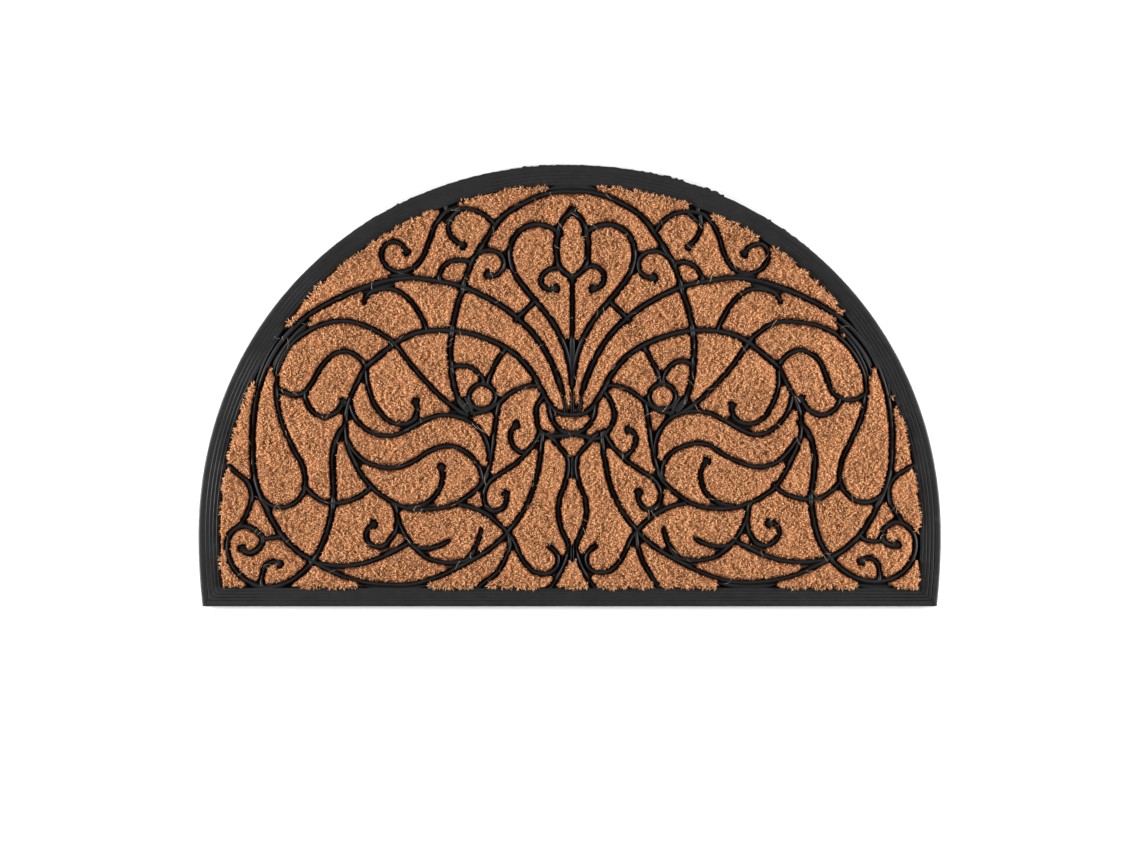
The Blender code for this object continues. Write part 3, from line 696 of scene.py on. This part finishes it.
def coir_material(name, low, high, bump_strength, specular, sheen):
    """Coconut fibre: the point's stored tint, which holds painted shade low in the ground and at the pads'
    edges, streaked finely from fibre to fibre.
    """
    made, nodes, links, shader = nodes_of(name)
    place = nodes.new("ShaderNodeTexCoord")
    own = nodes.new("ShaderNodeAttribute")
    own.attribute_name = "tint"
    streak = noise_node(nodes, links, place, 900, 4.0, 0.7)
    shade = range_node(nodes, links, streak.outputs["Fac"], (0.3, 0.7), (low, high))
    links.new(scaled(nodes, links, own.outputs["Color"], shade), shader.inputs["Base Color"])
    shader.inputs["Roughness"].default_value = 0.78
    shader.inputs["Specular IOR Level"].default_value = specular
    shader.inputs["Sheen Weight"].default_value = sheen
    shader.inputs["Sheen Roughness"].default_value = 0.5
    bump = bump_node(nodes, links, streak.outputs["Fac"], bump_strength, 0.5 * MM)
    links.new(bump.outputs["Normal"], shader.inputs["Normal"])
    return made


BORDER_RUBBER = rubber_material("border_rubber", 0.29, sunk=False)
TRACERY_RUBBER = rubber_material("tracery_rubber", 0.22, sunk=True)
COIR_GROUND = coir_material("coir_ground", 0.12, 1.25, 1.0, 0.05, 0.0)
COIR_FIBRE = coir_material("coir_fibre", 0.78, 1.27, 0.2, 0.2, 0.05)


def dress(built, material, smooth=True):
    """Gives the mesh its material in a slot of its own."""
    built.data.materials.append(material)
    if smooth:
        built.data.shade_smooth()


# Level of the border's flat bands and depth of the groove along each mitre, in millimetres
BORDER_LEVEL = 7.5
MITRE_DEPTH = 0.55

# Places across the border where the mould left a fine groove, as shares of its width
GROOVES = (0.31, 0.49, 0.66, 0.83)


def border_profile():
    """Share of the border's width and level of each ring, from the underside's edge inwards."""
    flat = BORDER_LEVEL
    rows = [(0.020, 0.0), (0.0, 0.5), (0.0, 6.3), (0.018, 7.05), (0.055, 7.42), (0.12, flat)]
    for groove in GROOVES:
        rows += [(groove - 0.024, flat), (groove - 0.012, flat - 0.12), (groove, flat - 0.42),
                 (groove + 0.012, flat - 0.04), (groove + 0.022, flat + 0.18),
                 (groove + 0.036, flat + 0.16), (groove + 0.048, flat)]
    rows += [(0.955, 7.46), (0.985, 7.20), (1.0, 6.6), (1.012, 2.0)]
    return rows


def flash(ring):
    """How far the ragged skin of rubber left by the mould stands out along the arch's upper edge."""
    x, y = ring[:, 0], ring[:, 1]
    ragged = np.clip(soft_noise(x, y, 2.8 * MM, 23) - 0.05, 0, 0.4)
    patches = np.clip(0.55 + 1.4 * soft_noise(x, y, 45 * MM, 24), 0, 1)
    upper = np.clip((y - 0.13) / 0.05, 0, 1)
    nick = 0.12 + 0.2 * upper
    return 4.6 * MM * ragged * patches * upper + nick * MM * soft_noise(x, y, 3 * MM, 25)


def rubber_base():
    """Backing and ridged border in one: rings round the outline, closed underneath and inside."""
    arch_count = 640
    edge_count = 150
    corners = [0, arch_count - 1]
    rings = []
    for share, level in border_profile():
        ring = border_ring(share, arch_count, edge_count)
        wave = 0.10 * soft_noise(ring[:, 0], ring[:, 1], 24 * MM, 21)
        wave += 0.06 * soft_noise(ring[:, 0], ring[:, 1], 5 * MM, 22)
        relief = 0.45 + np.where(ring[:, 0] > 0, 1.25, 0.7) * np.abs(ring[:, 0] / (MAT_WIDTH / 2)) ** 3
        relief *= 1 + 0.6 * soft_noise(ring[:, 0], ring[:, 1], 40 * MM, 26)
        height = np.full(len(ring), level)
        if 0.1 < share < 0.95:
            height = BORDER_LEVEL + (level - BORDER_LEVEL) * relief
        if level > 6:
            height += wave
        if level > 6.9:
            height[corners] -= MITRE_DEPTH
        if share == 0:
            ring = ring * (1 + flash(ring) / np.linalg.norm(ring, axis=1))[:, None]
        rings.append(np.column_stack([ring, height * MM]))
    built = mesh_object("rubber_base", np.concatenate(rings), ring_faces(len(rings[0]), len(rings)))
    close_up(built)
    dress(built, BORDER_RUBBER)
    built.data.set_sharp_from_angle(angle=math.radians(38))
    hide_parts("rubber_moulding")
    return built


def rib_profile():
    """Across a rib: side in half widths, and rise from 0 at the foot to 1 at the crest."""
    right = np.array([(0.22, 0.985), (0.44, 0.90), (0.62, 0.72), (0.78, 0.42), (0.92, 0.14),
                      (1.48, 0.05), (1.50, 0.0)])
    left = right[::-1] * (-1, 1)
    return np.concatenate([left, [(0.0, 1.0)], right])


def bend_spaced(path):
    """The path with points close together in its bends and further apart where it runs straight."""
    fine = evenly(path, 0.6 * MM)
    along = np.gradient(fine, axis=0)
    heading = np.unwrap(np.arctan2(along[:, 1], along[:, 0]))
    turn = np.abs(np.diff(heading)) / math.radians(9) + 0.6 / 4.5
    gone = np.concatenate([[0], np.cumsum(turn)])
    return points_at(fine, gone, np.linspace(0, gone[-1], max(3, int(gone[-1]) + 1)))


def dome_end(centre, radius, crest):
    """A round knob at the end of a curl, as points and faces in rings."""
    sides = 14
    angle = 2 * math.pi * np.arange(sides) / sides
    rise = crest + 0.1 * MM - RIB_FOOT
    rings = [(0.96, 0.0), (1.0, 0.42), (0.93, 0.66), (0.76, 0.84), (0.48, 0.96), (0.16, 1.0)]
    points = [np.column_stack([centre[0] + radius * reach * np.cos(angle),
                               centre[1] + radius * reach * np.sin(angle),
                               np.full(sides, RIB_FOOT + rise * level)]) for reach, level in rings]
    return np.concatenate(points), ring_faces(sides, len(rings))


def swept_rib(rib, number):
    """Points and faces of one rib along its path."""
    path = bend_spaced(rib.path)
    along = np.gradient(path, axis=0)
    along /= np.linalg.norm(along, axis=1)[:, None]
    side = np.stack([-along[:, 1], along[:, 0]], axis=1)
    gone = distances_along(path)
    half = half_along(rib, gone) * (1 + 0.04 * soft_noise(path[:, 0], path[:, 1], 14 * MM, 100 + number))
    crest = rib.crest + 0.25 * MM * soft_noise(path[:, 0], path[:, 1], 18 * MM, 200)
    profile = rib_profile()
    rows = len(profile)
    points = np.empty((len(path), rows, 3))
    points[:, :, :2] = path[:, None] + side[:, None] * (half[:, None] * profile[:, 0])[:, :, None]
    points[:, :, 2] = RIB_FOOT + (crest - RIB_FOOT)[:, None] * profile[:, 1]
    here = np.arange(rows)
    after = np.roll(here, -1)
    starts = np.arange(len(path) - 1)[:, None] * rows
    faces = np.stack([starts + here, starts + rows + here, starts + rows + after, starts + after], axis=2)
    return points.reshape(-1, 3), faces.reshape(-1, 4)


def rubber_tracery():
    """The scrollwork: round-backed ribs swept along every stroke, and knobs where curls end."""
    points = []
    faces = []
    count = 0
    for number, rib in enumerate(RIBS):
        solids = [swept_rib(rib, number)]
        if rib.ball:
            solids.append(dome_end(rib.path[-1], BALL_RADIUS, rib.crest))
        for solid_points, solid_faces in solids:
            points.append(solid_points)
            faces.append(solid_faces + count)
            count += len(solid_points)
    built = mesh_object("rubber_tracery", np.concatenate(points), np.concatenate(faces))
    close_up(built)
    dress(built, TRACERY_RUBBER)
    built.data.set_sharp_from_angle(angle=math.radians(60))
    return built


def pile_height(x, y):
    """Level of the coir's ground at a place on a pad, rounded off towards the pad's edge."""
    inside = np.clip(FIELD.pad(x, y) / (2.6 * MM), 0, 1)
    lumps = 0.30 * soft_noise(x, y, 16 * MM, 31) + 0.22 * soft_noise(x, y, 5.5 * MM, 32)
    lumps += 0.42 * soft_noise(x, y, 2.1 * MM, 33)
    return PILE_TOP - 0.9 * MM * (1 - inside) ** 2 + lumps * MM


# Half the length of the area in which coir is looked for
COIR_REACH = 0.360

# Colours of coir, from straw to husk brown
STRAW = np.array((0.78, 0.45, 0.22))
TAN = np.array((0.68, 0.33, 0.145))
RUSSET = np.array((0.42, 0.16, 0.062))
HUSK = np.array((0.14, 0.048, 0.020))
PALE = np.array((0.80, 0.62, 0.44))

# Share of each colour that the coir loses at a pad's edge: painted shade, which makes it darker and redder
# beside the channels
PAINTED_EDGE_SHADE = np.array((0.04, 0.17, 0.22))


def coir_ground():
    """The coir sheet's own surface: lumpy pads, sunk channels under the tracery, closed below."""
    pitch = 1.62 * MM
    jitter = 0.28
    rng = np.random.default_rng(SEED)
    xs = np.arange(-COIR_REACH, COIR_REACH, pitch)
    ys = np.arange(EDGE_Y + 0.012, -EDGE_Y - 0.014, pitch)
    x, y = (grid.copy() for grid in np.meshgrid(xs, ys, indexing="ij"))
    x += rng.uniform(-jitter, jitter, x.shape) * pitch
    y += rng.uniform(-jitter, jitter, y.shape) * pitch
    slope_x, slope_y = np.gradient(FIELD.rib, FIELD.pitch)
    clear = FIELD.pad(x, y)
    near = np.abs(clear) < 0.62 * pitch
    gx = FIELD.sample(slope_x, x, y)
    gy = FIELD.sample(slope_y, x, y)
    steep = np.maximum(np.hypot(gx, gy), 0.5)
    from_rib = FIELD.sample(FIELD.rib, x, y) < FIELD.sample(FIELD.border, x, y)
    move = np.where(near & from_rib, -clear, 0)
    x += move * gx / steep
    y += move * gy / steep
    on_pad = (clear > 0) | near
    level = np.where(on_pad, pile_height(x, y), CHANNEL_FLOOR)
    kept = FIELD.sample(FIELD.border, x, y) > 0.45 * MM
    cell = kept[:-1, :-1] & kept[1:, :-1] & kept[1:, 1:] & kept[:-1, 1:]
    index = np.arange(x.size).reshape(x.shape)
    faces = np.stack([index[:-1, :-1][cell], index[1:, :-1][cell], index[1:, 1:][cell],
                      index[:-1, 1:][cell]], axis=1)
    used, packed = np.unique(faces, return_inverse=True)
    points = np.stack([x.ravel(), y.ravel(), level.ravel()], axis=1)[used]
    built = mesh_object("coir_ground", points, packed.reshape(faces.shape))
    close_up(built, wall_to=COIR_BOTTOM)
    count = len(built.data.vertices)
    places = np.empty(count * 3, dtype=np.float32)
    built.data.vertices.foreach_get("co", places)
    places = places.reshape(-1, 3)
    # Painted shade: the lower the ground lies, in the hollows between tufts and down in the channels, the
    # darker it is painted, down to husk brown
    high = np.clip((places[:, 2] - (PILE_TOP - 0.9 * MM)) / (1.6 * MM), 0, 1)[:, None]
    colours = HUSK * (1 - high) + (0.45 * TAN + 0.50 * RUSSET) * high
    patch = 0.5 + 0.5 * soft_noise(places[:, 0], places[:, 1], 9 * MM, 41)[:, None]
    colours = colours * (0.80 + 0.35 * patch)
    tint(built, colours)
    dress(built, COIR_GROUND)
    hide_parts("coir_bed")
    return built


# Corners of a fibre's three-sided section, in widths: sideways, then upwards
FIBRE_SECTION = ((-0.5, -0.29), (0.5, -0.29), (0.0, 0.58))


def fibre_mesh(name, points, pattern, colours):
    """Many fibres in one mesh, a row of points for each and the same pattern of faces for all."""
    count, size, _ = points.shape
    faces = (np.arange(count)[:, None, None] * size + np.array(pattern)).reshape(-1, 3)
    built = mesh_object(name, points.reshape(-1, 3), faces)
    tint(built, np.repeat(colours, size, axis=0))
    dress(built, COIR_FIBRE, smooth=False)
    return built


def section_axes(ahead):
    """Directions sideways and upwards across each fibre."""
    across = np.cross(ahead, (0.0, 0.0, 1.0))
    across /= np.maximum(np.linalg.norm(across, axis=1, keepdims=True), 1e-9)
    return across, np.cross(across, ahead)


def spikes(name, roots, tips, widths, colours, sag):
    """Many pointed fibres in one mesh, each bent once in its middle by a share of its length."""
    run = tips - roots
    length = np.linalg.norm(run, axis=1, keepdims=True)
    across, above = section_axes(run / length)
    rings = []
    for share, bend, swell in ((0.0, 0.0, 0.8), (0.5, sag, 1.0)):
        middle = roots + run * share + above * (bend * length)
        for u, v in FIBRE_SECTION:
            rings.append(middle + (across * u + above * v) * (widths * swell)[:, None])
    pattern = []
    for a, b in ((0, 1), (1, 2), (2, 0)):
        pattern += [(a, b, b + 3), (a, b + 3, a + 3), (a + 3, b + 3, 6)]
    return fibre_mesh(name, np.stack([*rings, tips], axis=1), pattern, colours)


def cut_bits(name, roots, tips, widths, colours):
    """Many cut fibres in one mesh: each widens from its root to a blunt three-sided end."""
    ahead = tips - roots
    ahead /= np.linalg.norm(ahead, axis=1, keepdims=True)
    across, above = section_axes(ahead)
    ends = [tips + (across * u + above * v) * widths[:, None] for u, v in FIBRE_SECTION]
    pattern = ((0, 2, 1), (0, 3, 2), (0, 1, 3), (1, 2, 3))
    return fibre_mesh(name, np.stack([roots, *ends], axis=1), pattern, colours)


def heading_of(lean, upward):
    """The direction that leans round to one angle and rises by the other."""
    return np.column_stack([np.cos(lean) * np.cos(upward), np.sin(lean) * np.cos(upward), np.sin(upward)])


def coir_colours(rng, x, y, count):
    """A colour for each fibre: mostly tan, some straw, some russet and a few husk brown."""
    pick = rng.random(count) + 0.10 * soft_noise(x, y, 10 * MM, 42) + 0.08 * soft_noise(x, y, 40 * MM, 43)
    share = rng.uniform(0.84, 1.12, count)[:, None]
    colours = np.where(pick[:, None] < 0.30, STRAW, TAN)
    colours = np.where(pick[:, None] > 0.76, RUSSET, colours)
    colours = np.where(pick[:, None] > 0.89, HUSK, colours)
    return colours * share


# The cut pile: distance between tufts, fibres to a tuft and how far they spread; then the range of a
# fibre's rise in degrees and of its length and width in millimetres
TUFT_PITCH = 2.7 * MM
FIBRES_PER_TUFT = 5
TUFT_SPREAD = 0.75 * MM
PILE_RISE = (14, 52)
PILE_LENGTH = (2.2, 4.2)
PILE_WIDTH = (0.40, 0.72)

# Names of the pile's meshes and where along the mat each one runs
PILE_PARTS = (("left", -1, -0.12), ("middle", -0.12, 0.12), ("right", 0.12, 1))


def pile_fibres():
    """The cut pile: tufts of short stiff fibres over every pad, each tuft leaning its own way."""
    rng = np.random.default_rng(SEED + 1)
    pitch = TUFT_PITCH
    xs = np.arange(-COIR_REACH, COIR_REACH, pitch)
    ys = np.arange(EDGE_Y + 0.014, -EDGE_Y - 0.016, pitch)
    x, y = (grid.ravel().copy() for grid in np.meshgrid(xs, ys, indexing="ij"))
    x += rng.uniform(-0.5, 0.5, x.size) * pitch
    y += rng.uniform(-0.5, 0.5, y.size) * pitch
    lean = rng.uniform(0, 2 * math.pi, x.size)
    tuft_shade = rng.uniform(0.94, 1.06, x.size)
    x = np.repeat(x, FIBRES_PER_TUFT) + rng.normal(0, TUFT_SPREAD, x.size * FIBRES_PER_TUFT)
    y = np.repeat(y, FIBRES_PER_TUFT) + rng.normal(0, TUFT_SPREAD, y.size * FIBRES_PER_TUFT)
    lean = np.repeat(lean, FIBRES_PER_TUFT) + rng.normal(0, 0.9, x.size)
    tuft_shade = np.repeat(tuft_shade, FIBRES_PER_TUFT)
    kept = FIELD.pad(x, y) > 0.30 * MM
    x, y, lean, tuft_shade = x[kept], y[kept], lean[kept], tuft_shade[kept]
    count = x.size
    upward = np.radians(rng.uniform(*PILE_RISE, count))
    length = rng.uniform(*PILE_LENGTH, count) * MM
    roots = np.column_stack([x, y, pile_height(x, y) - 0.7 * MM])
    reach = heading_of(lean, upward) * length[:, None]
    over = FIELD.pad(x + reach[:, 0], y + reach[:, 1]) < 0.15 * MM
    reach[over, :2] *= 0.35
    tips = roots + reach
    widths = rng.uniform(*PILE_WIDTH, count) * MM
    # Painted shade: fibres near a pad's edge are painted darker and redder
    edge = np.clip(1 - FIELD.pad(x, y) / (3 * MM), 0, 1)[:, None]
    colours = coir_colours(rng, x, y, count) * tuft_shade[:, None] * (1 - edge * PAINTED_EDGE_SHADE)
    built = []
    for name, low, high in PILE_PARTS:
        here = (x >= low) & (x < high)
        built.append(cut_bits(f"coir_fibres_{name}", roots[here], tips[here], widths[here],
                              colours[here]))
    return built


# Places tried for fringe fibres, how near the border they are its fringe, and their lowest tip
FRINGE_TRIES = 420000
BORDER_FRINGE = 4.5 * MM
FRINGE_LOWEST = 8.3 * MM


def fringe_fibres():
    """Longer fibres that fray out over the border and over the channels at the pads' edges."""
    rng = np.random.default_rng(SEED + 2)
    x = rng.uniform(-COIR_REACH, COIR_REACH, FRINGE_TRIES)
    y = rng.uniform(EDGE_Y, -EDGE_Y, x.size)
    clear = FIELD.pad(x, y)
    from_border = FIELD.sample(FIELD.border, x, y)
    by_border = (clear > 0) & (clear < 1.6 * MM) & (from_border < BORDER_FRINGE)
    clumps = soft_noise(x, y, 7 * MM, 51) > -0.25
    by_rib = (clear > 0) & (clear < 0.8 * MM) & (from_border > BORDER_FRINGE)
    by_rib &= rng.random(x.size) < 0.30
    kept = (by_border & clumps) | by_rib
    x, y, by_border = x[kept], y[kept], by_border[kept]
    slope_x, slope_y = np.gradient(np.minimum(FIELD.rib, FIELD.border), FIELD.pitch)
    out = np.arctan2(-FIELD.sample(slope_y, x, y), -FIELD.sample(slope_x, x, y))
    lean = out + rng.normal(0, 0.75, x.size)
    upward = np.radians(rng.uniform(-6, 22, x.size))
    length = np.where(by_border, rng.uniform(1.8, 4.6, x.size), rng.uniform(1.2, 2.6, x.size)) * MM
    roots = np.column_stack([x, y, pile_height(x, y) - 0.3 * MM])
    tips = roots + heading_of(lean, upward) * length[:, None]
    tips[:, 2] = np.maximum(tips[:, 2], FRINGE_LOWEST)
    widths = rng.uniform(0.26, 0.46, x.size) * MM
    colours = coir_colours(rng, x, y, x.size) * 1.05
    return spikes("coir_fringe", roots, tips, widths, colours, sag=0.06)


STRAYS = 330
STRAY_LEVEL = 10.3 * MM


def stray_fibres():
    """Loose pale fibres lying across the ribs, the pads and here and there the border."""
    rng = np.random.default_rng(SEED + 3)
    count = STRAYS
    steps = 9
    x = rng.uniform(-0.345, 0.345, count * 6)
    y = rng.uniform(EDGE_Y + 0.018, -EDGE_Y - 0.02, count * 6)
    near = FIELD.sample(FIELD.rib, x, y) < 4 * MM
    inside = FIELD.sample(FIELD.border, x, y) > 3 * MM
    kept = np.flatnonzero(near & inside)[:count]
    points = []
    faces = []
    colours = []
    made = 0
    for number in kept:
        length = rng.uniform(4, 12) * MM
        heading = rng.uniform(0, 2 * math.pi)
        curl = rng.normal(0, 0.9)
        share = np.linspace(0, 1, steps)
        turn = heading + curl * share
        path_x = x[number] + np.cumsum(np.cos(turn)) * length / steps
        path_y = y[number] + np.cumsum(np.sin(turn)) * length / steps
        level = STRAY_LEVEL + 0.5 * MM * np.sin(math.pi * share) + rng.uniform(-0.4, 0.5) * MM
        width = rng.uniform(0.07, 0.13) * MM * (1 - 0.6 * share)
        across = np.stack([-np.sin(turn), np.cos(turn)], axis=1)
        for u, v in ((-1, -0.58), (1, -0.58), (0, 1.16)):
            points.append(np.column_stack([path_x + across[:, 0] * width * u,
                                           path_y + across[:, 1] * width * u,
                                           level + width * v]))
        for corner in range(3):
            here = made + corner * steps + np.arange(steps - 1)
            beside = made + (corner + 1) % 3 * steps + np.arange(steps - 1)
            faces.append(np.stack([here, here + 1, beside + 1, beside], axis=1))
        made += 3 * steps
        shade = rng.uniform(0.35, 0.75)
        colours.append(np.tile(PALE * shade, (3 * steps, 1)))
    built = mesh_object("stray_fibres", np.concatenate(points), np.concatenate(faces))
    tint(built, np.concatenate(colours))
    dress(built, COIR_FIBRE)
    return built


# Lightness of the floor, strength of the even light, and each softbox's size, power and place
FLOOR_WHITE = 0.76
EVEN_LIGHT = 0.13
SOFTBOX_SIZE = (1.4, 0.6)
SOFTBOX_POWER = 205
SOFTBOX_PLACE = (2.4, 0.1, 0.76)


def studio():
    """White floor, soft even light, and a softbox low on each side."""
    mesh = bmesh.new()
    bmesh.ops.create_grid(mesh, x_segments=1, y_segments=1, size=4)
    data = bpy.data.meshes.new("floor")
    mesh.to_mesh(data)
    mesh.free()
    floor = bpy.data.objects.new("floor", data)
    bpy.context.scene.collection.objects.link(floor)
    made, _, _, shader = nodes_of("studio_floor")
    shader.inputs["Base Color"].default_value = (FLOOR_WHITE, FLOOR_WHITE, FLOOR_WHITE, 1)
    shader.inputs["Roughness"].default_value = 0.9
    floor.data.materials.append(made)
    world = bpy.data.worlds.new("studio")
    bpy.context.scene.world = world
    world.use_nodes = True
    background = world.node_tree.nodes["Background"]
    background.inputs["Color"].default_value = (1, 1, 1, 1)
    background.inputs["Strength"].default_value = EVEN_LIGHT
    for side in (-1, 1):
        light = bpy.data.lights.new("softbox", "AREA")
        light.shape = "RECTANGLE"
        light.size, light.size_y = SOFTBOX_SIZE
        light.energy = SOFTBOX_POWER
        lamp = bpy.data.objects.new("softbox", light)
        lamp.location = Vector(SOFTBOX_PLACE) * Vector((side, 1, 1))
        lamp.rotation_euler = (Vector((0, 0, 0)) - lamp.location).to_track_quat("-Z", "Y").to_euler()
        bpy.context.scene.collection.objects.link(lamp)


# The camera looks straight down, and its frame is 1140 by 855 pixels at this many metres a pixel
METRES_PER_PIXEL = 1.0094 * MM
FRAME_WIDTH = 1140 * METRES_PER_PIXEL
CAMERA_HEIGHT = 3.2
CAMERA_PLACE = (0.0003, -0.0423)
SENSOR_WIDTH = 36


def camera():
    """A camera straight above the mat."""
    data = bpy.data.cameras.new("camera")
    data.sensor_width = SENSOR_WIDTH
    data.lens = SENSOR_WIDTH * (CAMERA_HEIGHT - PILE_TOP) / FRAME_WIDTH
    built = bpy.data.objects.new("camera", data)
    built.location = (*CAMERA_PLACE, CAMERA_HEIGHT)
    bpy.context.scene.collection.objects.link(built)
    bpy.context.scene.camera = built


rubber_base()
rubber_tracery()
ground = coir_ground()
fibres = [*pile_fibres(), fringe_fibres(), stray_fibres()]
studio()
camera()
bpy.context.scene.view_settings.view_transform = "Standard"
